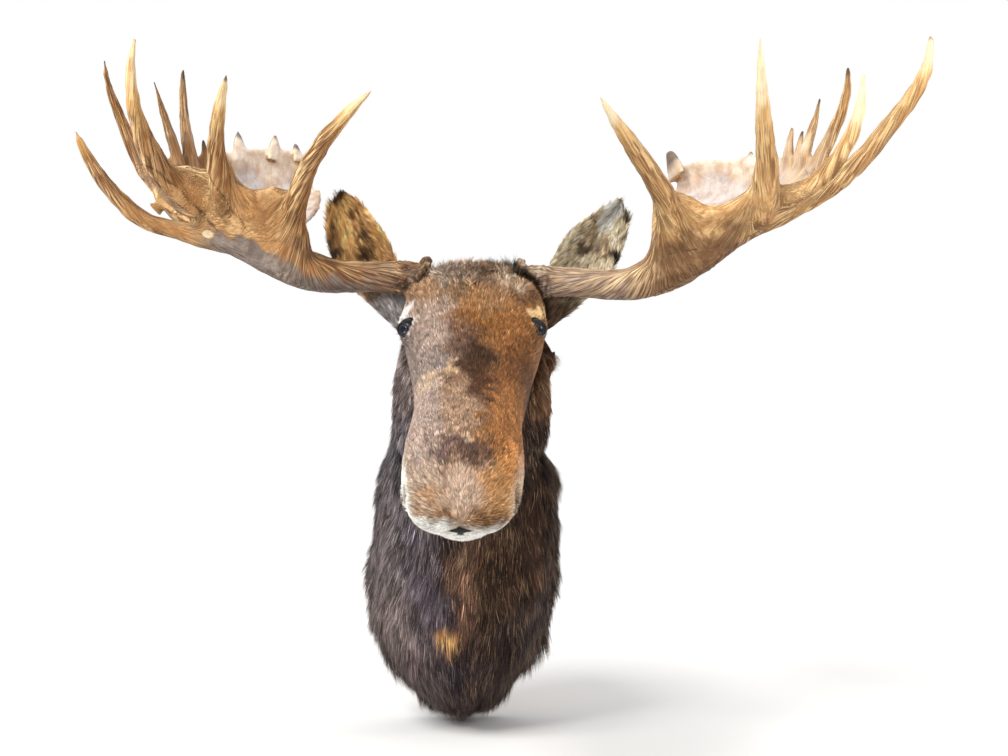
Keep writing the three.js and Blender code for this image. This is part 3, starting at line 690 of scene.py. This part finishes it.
class Coat:
    """Roots of hair scattered over a skin, with what each hair takes from it."""

    def __init__(self, skin, count, seed, wanted):
        self.rng = np.random.default_rng(seed)
        normals = skin.normals()
        corners = np.concatenate([skin.corners[:, [0, 1, 2]], skin.corners[:, [0, 2, 3]]])
        a, b, c = (skin.points[corners[:, k]] for k in range(3))
        areas = np.linalg.norm(np.cross(b - a, c - a), axis=1) * wanted[corners].mean(1)
        chosen = self.rng.choice(len(corners), count, p=areas / areas.sum())
        share = self.rng.random((count, 2))
        share = np.where(share.sum(1, keepdims=True) > 1, 1 - share, share)
        weights = np.concatenate([1 - share.sum(1, keepdims=True), share], 1)[:, :, None]
        self.roots = (skin.points[corners[chosen]] * weights).sum(1)
        self.normals = unit((normals[corners[chosen]] * weights).sum(1))
        self.place = self.roots - FACE_MIDDLE
        self.count = count

    def along(self, flow, scatter):
        """Combs the hair: directions laid onto the skin, each off by up to about scatter."""
        flow = unit(flow - self.normals * dot(flow, self.normals))
        across = np.cross(flow, self.normals)
        angle = self.rng.normal(size=(self.count, 1)) * np.broadcast_to(scatter, self.count)[:, None]
        self.flow = flow * np.cos(angle) + across * np.sin(angle)

    def grown(self, length, rise, fall=0.0, hang=0.0):
        """Lets the hair grow: two lengths, the first rising off the skin and the second lying down."""
        length = (length * self.rng.uniform(0.72, 1.15, self.count))[:, None]
        rise = (rise * self.rng.uniform(0.7, 1.3, self.count))[:, None]
        first = unit(self.flow * np.cos(rise) + self.normals * np.sin(rise))
        fall = np.broadcast_to(fall, self.count)[:, None]
        second = unit(first - self.normals * fall + np.array([0, 0, -1.0]) * hang)
        self.middles = self.roots + first * length * 0.5
        self.tips = self.middles + second * length * 0.5

    def trimmed(self, lowest):
        """Cuts the hair that would hang below lowest."""
        drop = np.maximum(self.roots[:, 2] - self.tips[:, 2], 1e-6)
        room = self.roots[:, 2] - lowest - self.rng.uniform(0, 0.012, self.count)
        share = np.clip(room / drop, 0.12, 1)[:, None]
        self.middles = self.roots + (self.middles - self.roots) * share
        self.tips = self.roots + (self.tips - self.roots) * share

    def gathered(self, locks, pull):
        """Draws the hair's tips together into locks."""
        picks = np.random.default_rng(5).choice(self.count, locks, replace=False)
        tree = KDTree(locks)
        for index, pick in enumerate(picks):
            tree.insert(self.roots[pick], index)
        tree.balance()
        owner = picks[np.array([tree.find(root)[1] for root in self.roots])]
        pull = np.broadcast_to(pull, self.count)[:, None]
        self.tips += (self.tips[owner] - self.tips) * pull
        self.middles += (self.middles[owner] - self.middles) * pull * 0.35
        self.lock = owner

    def tones(self, seed, by_lock, by_hair):
        """How light each hair is, by a tone that its whole lock shares and one of its own."""
        shared = np.random.default_rng(seed).normal(size=self.count)[self.lock][:, None]
        return by_lock * shared + by_hair * self.rng.normal(size=(self.count, 1))

    def mesh(self, width, shades, bent=True):
        """One mesh of tapering hairs, whose points carry the coat's colour and the way along the hair."""
        side = np.cross(self.flow, self.normals)
        roll = self.rng.uniform(-0.7, 0.7, self.count)[:, None]
        side = unit(side * np.cos(roll) + self.normals * np.sin(roll))
        width = np.broadcast_to(width, self.count) * self.rng.uniform(0.7, 1.3, self.count)
        side = side * width[:, None] / 2
        rows = [self.roots - side, self.roots + side]
        faces = [[0, 1, 2]]
        lengthwise = [0.0, 0.0, 1.0]
        if bent:
            rows += [self.middles + side * 0.8, self.middles - side * 0.8]
            faces = [[0, 1, 2, 3], [3, 2, 4]]
            lengthwise = [0.0, 0.0, 0.5, 0.5, 1.0]
        rows.append(self.tips)
        points = np.stack(rows, 1)
        per = len(rows)
        base = np.arange(self.count)[:, None] * per
        loops = np.concatenate([base + face for face in faces], 1).ravel()
        sizes = np.tile([len(face) for face in faces], self.count)
        made = bpy.data.meshes.new("hair")
        made.vertices.add(self.count * per)
        made.vertices.foreach_set("co", points.astype(np.float32).ravel())
        made.loops.add(len(loops))
        made.loops.foreach_set("vertex_index", loops.astype(np.int32))
        made.polygons.add(len(sizes))
        made.polygons.foreach_set("loop_start", (np.cumsum(sizes) - sizes).astype(np.int32))
        made.update(calc_edges=True)
        made.attributes.new("coat", "FLOAT_VECTOR", "POINT").data.foreach_set(
            "vector", np.repeat(shades, per, 0).astype(np.float32).ravel())
        made.attributes.new("along", "FLOAT", "POINT").data.foreach_set(
            "value", np.tile(lengthwise, self.count).astype(np.float32))
        return made


hide, wire = material("hide")
coat = wire.attribute("coat", 1)
pore = wire.noise(420.0, 3.0)
under = wire.mix(pore.between(0.3, 0.7) * 0.5, wire.mix(0.5, coat, (0.01, 0.006, 0.004)), coat)
under = wire.mix(wire.attribute("bare"), under, colour(7, 6, 6))
surface(wire, {"Base Color": under, "Roughness": 0.75 - wire.attribute("bare") * 0.2,
               "Specular IOR Level": 0.1}, pore, 0.6, 0.001)

short_hair, wire = material("short_hair")
coat = wire.attribute("coat", 1)
along = wire.attribute("along")
strand = wire.mix(along.between(0.0, 0.7), wire.mix(0.45, coat, (0.012, 0.007, 0.004)), coat)
strand = wire.mix(wire.noise(55.0, 3.0).between(0.35, 0.7) * 0.22, strand, (0.02, 0.012, 0.008))
surface(wire, {"Base Color": strand, "Roughness": 0.5, "Specular IOR Level": 0.1})

skin = Skin(remeshed(merged_copy(["head"]), HEAD_NET))
skin.relax(14, 3)
place = skin.points - FACE_MIDDLE
crown = smooth(place[:, 2], 0.385, 0.43) * smooth(-place[:, 1], 0.62, 0.56)
skin.lift(-0.0035 - 0.011 * crown)
place = skin.points - FACE_MIDDLE
skin.keep("coat", face_coat(place))
skin.keep("bare", bare(place))
finished("head_hide", skin.mesh, hide, "face_hair", "head")

wanted = (1 - bare(place, 0.006)) * (0.35 + 0.65 * smooth(-place[:, 1], 0.40, 0.47))
for part, locks in enumerate(HEAD_LOCKS):
    hair = Coat(skin, HEAD_HAIRS, 60 + part, wanted)
    place = hair.place
    x, y, z = place.T
    crown = smooth(z + 0.01 * drift(place, 0.05, 51), 0.375, 0.425)
    crown *= smooth(-y, 0.64, 0.58)
    jaw = smooth(-y, 0.86, 0.66) * smooth(z - 0.36 * (-y - 0.5), 0.22, 0.12)
    muzzle = smooth(-y, 0.85, 1.0)
    swirl, tousle = drifts(place, 0.06, 52), drifts(place, 0.025, 55)
    flow = unit(place - NOSE_TIP) + 0.10 * swirl + 0.75 * tousle * crown[:, None]
    hair.along(flow, 0.16 + 0.35 * crown)
    length = 0.0120 - 0.004 * muzzle + 0.021 * crown + 0.010 * jaw
    hair.grown(length, 0.30 + 0.30 * crown, 0.12 + 0.25 * crown)
    hair.gathered(locks, 0.35 + 0.40 * crown)
    shades = face_coat(place)
    spread = np.clip(1.25 - 0.9 * shades[:, 0], 0.25, 1.1)[:, None]
    shades = shades * np.exp(spread * hair.tones(6, 0.38 + 0.35 * crown[:, None], 0.34)) * 0.93
    shades = np.clip(shades * hair.rng.uniform(0.94, 1.06, (HEAD_HAIRS, 3)), 0.003, 0.95)
    finished(f"head_hair_{part + 1}", hair.mesh(0.0011 + 0.0004 * crown, shades, bent=False),
             short_hair, "face_hair", "head")

# The neck: the same hide over the form, with long coarse near-black hair that hangs in locks down to the
# ragged lower edge, duller and greyer on one side, with pale guard hairs and a tan patch on the chest.

NECK_NET = 0.006
NECK_HAIRS = 65000  # in each of its pieces
NECK_LOCKS = (5200, 9000, 14000)
HAIR_DEPTH = 0.017
WALL_GAP = 0.003
NECK_SPOTS = [
    (-120, 60, 60, 190, (78, 74, 78), 0.9),
    (-130, 250, 50, 60, (120, 106, 102), 0.9),
    (130, 250, 50, 70, (110, 78, 54), 0.9),
    (-150, -90, 60, 150, (92, 84, 84), 0.9),
    (-90, -60, 34, 110, (72, 66, 72), 0.7),
    (-72, -150, 36, 90, (82, 74, 82), 0.8),
    (-135, -190, 60, 70, (100, 88, 86), 0.7),
    (-100, -290, 46, 60, (92, 80, 80), 0.7),
    (-14, -120, 22, 90, (116, 84, 66), 0.7),
    (4, -110, 9, 60, (26, 18, 16), 0.8),
    (-35, -170, 18, 30, (44, 36, 50), 0.6),
    (-112, -70, 6, 90, (36, 30, 34), 0.7),
    (-92, -170, 8, 50, (40, 34, 42), 0.7),
    (46, -90, 50, 100, (62, 42, 29), 0.8),
    (120, -40, 60, 140, (48, 31, 21), 0.9),
    (110, -200, 60, 70, (52, 41, 41), 0.7),
    (-10, -300, 80, 70, (44, 35, 37), 0.8),
    (-46, -212, 26, 21, (190, 136, 84), 0.95),
    (-49, -272, 32, 26, (26, 24, 34), 0.9),
    (-9, -58, 3.5, 18, (150, 124, 96), 0.8),
]


def neck_coat(place):
    return painted(place, colour(52, 38, 33), NECK_SPOTS)


long_hair, wire = material("long_hair")
coat = wire.attribute("coat", 1)
along = wire.attribute("along")
strand = wire.mix(along.between(0.0, 0.8), wire.mix(0.6, coat, (0.004, 0.003, 0.003)), coat)
surface(wire, {"Base Color": strand, "Roughness": 0.45, "Specular IOR Level": 0.12})

skin = Skin(remeshed(merged_copy(["neck"]), NECK_NET))
skin.relax(4, 2)
x, y, z = (skin.points - FACE_MIDDLE).T
thin = smooth(-y, 0.385, 0.42) * smooth(z, 0.06, 0.15)
slim = smooth(z, 0.05, 0.13) * (0.006 + 0.014 * smooth(x, 0.0, 0.06))
shrink = (HAIR_DEPTH + slim) * smooth(-y, 0.015, 0.06) * (1 - thin) + 0.002
skin.lift(-shrink)
place = skin.points - FACE_MIDDLE
skin.keep("coat", neck_coat(place) * 0.45)
skin.keep("bare", np.zeros(len(place)))
finished("neck_hide", skin.mesh, hide, "neck_hair", "neck")

wanted = smooth(skin.normals()[:, 1], 0.7, 0.3)
for part, locks in enumerate(NECK_LOCKS):
    hair = Coat(skin, NECK_HAIRS, 80 + part, wanted)
    place = hair.place
    x, y, z = place.T
    low = smooth(z, -0.16, -0.33)
    swirl = drifts(place, 0.11, 62)
    spread = 1.6 + 2.4 * smooth(x, -0.03, -0.12)
    fan = spread * (x + 0.02) * (1 - 1.6 * low)
    hair.along(np.stack([fan, 0.22 + 0 * fan, -1 + 0 * fan], 1) + 0.16 * swirl, 0.14)
    collar = smooth(-y, 0.36, 0.41)
    length = (0.052 + 0.016 * low - 0.018 * smooth(z, 0.10, 0.30)) * (1 - 0.30 * collar)
    rise = (0.34 + 0.05 * drift(place, 0.03, 67)) * (1 - 0.2 * collar)
    hair.grown(length * (1 + 0.10 * drift(place, 0.05, 66)), rise, 0.10, 0.25)
    hair.gathered(locks, hair.rng.uniform(0.3, 0.85, NECK_HAIRS))
    hair.trimmed(cad_box[0].z - 0.010)
    shades = neck_coat(place) * np.exp(hair.tones(9, 0.50, 0.45))
    shades *= np.exp(0.22 * drift(place, 0.06, 69))[:, None]
    guard = hair.rng.random(NECK_HAIRS) < 0.05 + 0.09 * smooth(drift(place, 0.07, 68), 0.0, 1.4)
    warm = smooth(x, -0.09, 0.0)[guard, None]
    tan = np.array(colour(168, 150, 144)) * (1 - warm) + np.array(colour(158, 130, 100)) * warm
    shades[guard] = tan * hair.rng.uniform(0.5, 1.3, (guard.sum(), 1))
    for points in (hair.tips, hair.middles):
        points[:, 1] = np.minimum(points[:, 1], -WALL_GAP)
    finished(f"neck_hair_{part + 1}", hair.mesh(0.0010, np.clip(shades, 0.002, 0.9)),
             long_hair, "neck_hair", "neck")

# The ears: cupped hide over a thin stiff liner, on short roots behind the antlers, tan inside with dark
# streaks and a dark furred rim; one is paler than the other.

EAR_NET = 0.0024
EAR_HAIRS = 48000
EAR_LOCKS = 3500
# Each ear: root and tip in the head's frame, ground colours inside and out, and its spots as for the face.
EARS = {
    "right": {"root": (-0.112, -0.462, 0.345), "tip": (-0.231, -0.439, 0.571), "inside": (206, 158, 104),
              "out": (96, 84, 80), "spots": [
                  (-230, 512, 14, 24, (240, 186, 118), 1.0), (-220, 484, 12, 26, (244, 192, 124), 1.0),
                  (-244, 488, 9, 26, (150, 112, 70), 0.8), (-209, 520, 9, 20, (104, 74, 44), 0.9),
                  (-186, 490, 11, 24, (66, 50, 36), 0.9), (-162, 486, 12, 26, (226, 174, 108), 0.9),
                  (-180, 456, 16, 14, (44, 34, 28), 0.95), (-200, 466, 9, 16, (224, 172, 110), 0.9),
                  (-246, 456, 18, 16, (58, 52, 48), 0.9), (-238, 552, 18, 10, (70, 54, 40), 0.8)]},
    "left": {"root": (0.112, -0.462, 0.340), "tip": (0.263, -0.439, 0.557), "inside": (214, 196, 166),
             "out": (78, 62, 50), "spots": [
                 (246, 534, 20, 22, (255, 252, 240), 1.0), (230, 508, 18, 24, (255, 250, 236), 1.0),
                 (206, 514, 6, 18, (104, 84, 60), 0.8), (204, 490, 16, 16, (168, 144, 114), 0.9),
                 (200, 458, 22, 16, (84, 68, 50), 0.9), (234, 458, 16, 16, (150, 126, 98), 0.9),
                 (255, 446, 18, 14, (30, 25, 22), 1.0), (276, 516, 7, 40, (38, 30, 24), 0.9)]},
}


def ear_coat(place, facing, ear):
    root, tip = np.array(ear["root"]), np.array(ear["tip"])
    span = unit(tip - root)
    up = (place - root) @ span / np.linalg.norm(tip - root)
    aside = (place - root) @ np.cross(span, [0, 1, 0])
    shade = painted(place, colour(*ear["inside"]), ear["spots"])
    shade *= np.exp(0.2 * np.sin(aside * 520 + 1.6 * drift(place, 0.05, 71) + 4 * up))[:, None]
    outside = smooth(facing, -0.10, 0.25)
    shade += (np.array(colour(*ear["out"])) - shade) * outside[:, None]
    rim = np.maximum(smooth(up, 0.93, 1.01), smooth(facing, -0.42, -0.05) * smooth(up, 0.2, 0.35))
    rim *= 1 - 0.5 * smooth(facing, 0.1, 0.5)
    shade += (np.array(colour(34, 24, 18)) - shade) * (0.92 * rim)[:, None]
    base = smooth(up, 0.34, 0.12)
    foot = colour(158, 151, 149) if root[0] < 0 else colour(92, 72, 56)
    return shade + (np.array(foot) - shade) * base[:, None]


for side, sign in (("right", -1), ("left", 1)):
    ear = EARS[side]
    skin = Skin(remeshed(merged_copy([f"ear_{side}"]), EAR_NET))
    skin.relax(10, 3).lift(np.full(len(skin.points), -0.0015))
    normal = skin.normals()
    place = skin.points - FACE_MIDDLE
    skin.keep("coat", ear_coat(place, normal[:, 1], ear))
    skin.keep("bare", np.zeros(len(place)))
    finished(f"ear_{side}_hide", skin.mesh, hide, "ear_hair", f"ear_{side}")
    hair = Coat(skin, EAR_HAIRS, 90 + sign, np.ones(len(place)))
    place = hair.place
    root, tip = np.array(ear["root"]), np.array(ear["tip"])
    axis = unit(tip - root)
    aside = place - root - ((place - root) @ axis)[:, None] * axis
    hair.along(axis + 3.0 * aside + 0.15 * drifts(place, 0.04, 72), 0.15)
    inside = smooth(hair.normals[:, 1], -0.1, -0.5)
    hair.grown(0.011 + 0.006 * inside, 0.32 + 0.1 * inside, 0.15)
    hair.gathered(EAR_LOCKS, 0.5)
    shades = ear_coat(place, hair.normals[:, 1], ear) * np.exp(hair.tones(4, 0.35, 0.25))
    finished(f"ear_{side}_hair", hair.mesh(0.0009, np.clip(shades, 0.004, 0.92), bent=False),
             short_hair, "ear_hair", f"ear_{side}")

# The eyes: blown glass, painted inside with a wide black pupil and a slate blue iris, set in clay lids
# that are covered with thin black skin.

EYE_RADIUS = 0.0199
LID_POINTS = 64

eye_glass, wire = material("eye_glass")
ring = wire.attribute("ring")
iris = wire.mix(ring.between(0.30, 0.34), colour(4, 4, 6), colour(34, 40, 54))
iris = wire.mix(ring.between(0.62, 0.74), iris, colour(12, 10, 12))
surface(wire, {"Base Color": iris, "Roughness": 0.05, "Specular IOR Level": 0.22})

lid_skin, wire = material("lid_skin")
wrinkle = wire.noise(600.0, 4.0)
surface(wire, {"Base Color": wire.mix(wrinkle.between(0.3, 0.7), colour(14, 11, 10), colour(30, 24, 21)),
               "Roughness": 0.55, "Specular IOR Level": 0.25}, wrinkle, 0.5, 0.0006)

for side, sign in (("right", -1), ("left", 1)):
    middle = Vector(eye_middle(sign) + FACE_MIDDLE)
    gaze = Vector((0.62 * sign, -0.77, 0.05)).normalized()
    ball = bmesh.new()
    bmesh.ops.create_uvsphere(ball, u_segments=48, v_segments=32, radius=EYE_RADIUS)
    ball.transform(gaze.to_track_quat("Z", "Y").to_matrix().to_4x4())
    bmesh.ops.translate(ball, verts=ball.verts, vec=middle)
    mesh = bpy.data.meshes.new("eye")
    ball.to_mesh(mesh)
    ball.free()
    off = (read(mesh.vertices, "co", 3) - np.array(middle)) / EYE_RADIUS
    flatness = off @ np.array(gaze)
    aside = off @ np.array(Vector((0, 0, 1)).cross(gaze).normalized())
    ring = np.where(flatness > 0, np.hypot(aside * 0.75, off[:, 2] * 1.15), 1.0)
    mesh.attributes.new("ring", "FLOAT", "POINT").data.foreach_set("value", ring.astype(np.float32))
    finished(f"eye_{side}", mesh, eye_glass, "eye_glass", f"eye_{side}")

    curve = bpy.data.curves.new("lid", "CURVE")
    curve.dimensions, curve.bevel_depth, curve.bevel_resolution = "3D", 0.0015, 4
    spline = curve.splines.new("POLY")
    spline.points.add(LID_POINTS - 1)
    spline.use_cyclic_u = True
    across = Vector((0, 0, 1)).cross(gaze).normalized()
    over = gaze.cross(across).normalized()
    for index, point in enumerate(spline.points):
        angle = 2 * math.pi * index / LID_POINTS
        way = gaze + across * 0.60 * math.cos(angle) + over * 0.56 * math.sin(angle)
        point.co = (*(middle + way.normalized() * (EYE_RADIUS + 0.0008)), 1)
        point.radius = 1.0 + 0.2 * math.sin(angle)
    holder = bpy.data.objects.new("holder", curve)
    mesh = bpy.data.meshes.new_from_object(holder)
    bpy.data.objects.remove(holder)
    finished(f"lid_{side}", mesh, lid_skin, "face_hair", "head")

# The back board: an oval cut from birch plywood, that the form is screwed to and hangs by. Its edges are
# eased and show the plies as thin dark lines.

BOARD_HALF = (0.164, 0.285)
BOARD_THICK = 0.018
BOARD_EASE = 0.003

board_wood, wire = material("board_wood")
grain = wire.noise(9.0, 5.0, 0.6, (14.0, 14.0, 1.0))
pore = wire.noise(60.0, 3.0, 0.6, (9.0, 9.0, 0.8))
wood = wire.mix(grain.between(0.3, 0.7), colour(176, 130, 84), colour(206, 164, 116))
wood = wire.mix(pore.between(0.55, 0.75) * 0.5, wood, colour(120, 80, 46))
plies = wire.node("TexWave", {"bands_direction": "Y"}, {
    "Vector": wire.node("TexCoord", output=3), "Scale": 88.0, "Distortion": 0.4, "Detail": 1.0}, 1)
rim = 1 - wire.node("SeparateXYZ", None, {0: wire.node("NewGeometry", output=1)}, 1).size()
wood = wire.mix(rim.between(0.6, 0.9) * plies.between(0.35, 0.65) * 0.6, wood, colour(104, 66, 38))
surface(wire, {"Base Color": wood, "Roughness": 0.55}, grain + pore * 0.5, 0.35, 0.0006)

board = bmesh.new()
bmesh.ops.create_circle(board, cap_ends=True, segments=96, radius=1.0)
bmesh.ops.scale(board, verts=board.verts, vec=(*BOARD_HALF, 1.0))
board.transform(Vector((0, 1, 0)).to_track_quat("Z", "Y").to_matrix().to_4x4())
grown = bmesh.ops.extrude_face_region(board, geom=board.faces[:])["geom"]
front = [part for part in grown if isinstance(part, bmesh.types.BMVert)]
bmesh.ops.translate(board, verts=front, vec=(0, -BOARD_THICK, 0))
bmesh.ops.recalc_face_normals(board, faces=board.faces)
rims = [edge for edge in board.edges if len({round(v.co.y, 5) for v in edge.verts}) == 1]
bmesh.ops.bevel(board, geom=rims, offset=BOARD_EASE, segments=3, profile=0.5, affect="EDGES", material=-1)
mesh = bpy.data.meshes.new("board")
board.to_mesh(mesh)
board.free()
finished("back_board", mesh, board_wood, "board_wood", "back_board").data.shade_flat()

# The studio: a white floor under the mount, a white room, a broad soft light from the upper left and a
# smaller warm one from the right.

floor_paint, wire = material("floor_paint")
surface(wire, {"Base Color": (0.66, 0.66, 0.66, 1), "Roughness": 0.95, "Specular IOR Level": 0.0})
floor = bmesh.new()
bmesh.ops.create_grid(floor, x_segments=1, y_segments=1, size=60)
bmesh.ops.translate(floor, verts=floor.verts, vec=(0, 0, cad_box[0].z - 0.012))
mesh = bpy.data.meshes.new("floor")
floor.to_mesh(mesh)
floor.free()
mesh.materials.append(floor_paint)
ground = bpy.data.objects.new("floor", mesh)
scene.collection.objects.link(ground)

world = bpy.data.worlds.new("room")
world.use_nodes = True
world.node_tree.nodes["Background"].inputs[0].default_value = (1, 1, 1, 1)
world.node_tree.nodes["Background"].inputs[1].default_value = 1.0
scene.world = world

for name, kind, place, power, tint, soft in (
    ("sky", "SUN", (-1.0, -2.0, 2.1), 3.0, (1.0, 0.98, 0.95), 0.45),
    ("key", "AREA", (-1.7, -3.0, 1.9), 45, (1.0, 0.97, 0.93), 0.7),
    ("rim", "AREA", (2.6, -1.2, 1.2), 22, (1.0, 0.92, 0.82), 0.8),
):
    light = bpy.data.lights.new(name, kind)
    light.energy, light.color = power, tint
    if kind == "SUN":
        light.angle = soft
    else:
        light.shape, light.size = "DISK", soft
    lamp = bpy.data.objects.new(name, light)
    lamp.location = place
    lamp.rotation_mode = "QUATERNION"
    lamp.rotation_quaternion = (Vector((0, -0.5, 0.3)) - Vector(place)).to_track_quat("-Z", "Y")
    scene.collection.objects.link(lamp)

view = bpy.data.cameras.new("camera")
view.lens, view.sensor_width = 54.607, 36.0
camera = bpy.data.objects.new("camera", view)
camera.location = (0.072, -3.160, 0.345)
camera.rotation_euler = (math.pi / 2, 0, 0)
scene.collection.objects.link(camera)
scene.camera = camera
scene.view_settings.view_transform = "Standard"
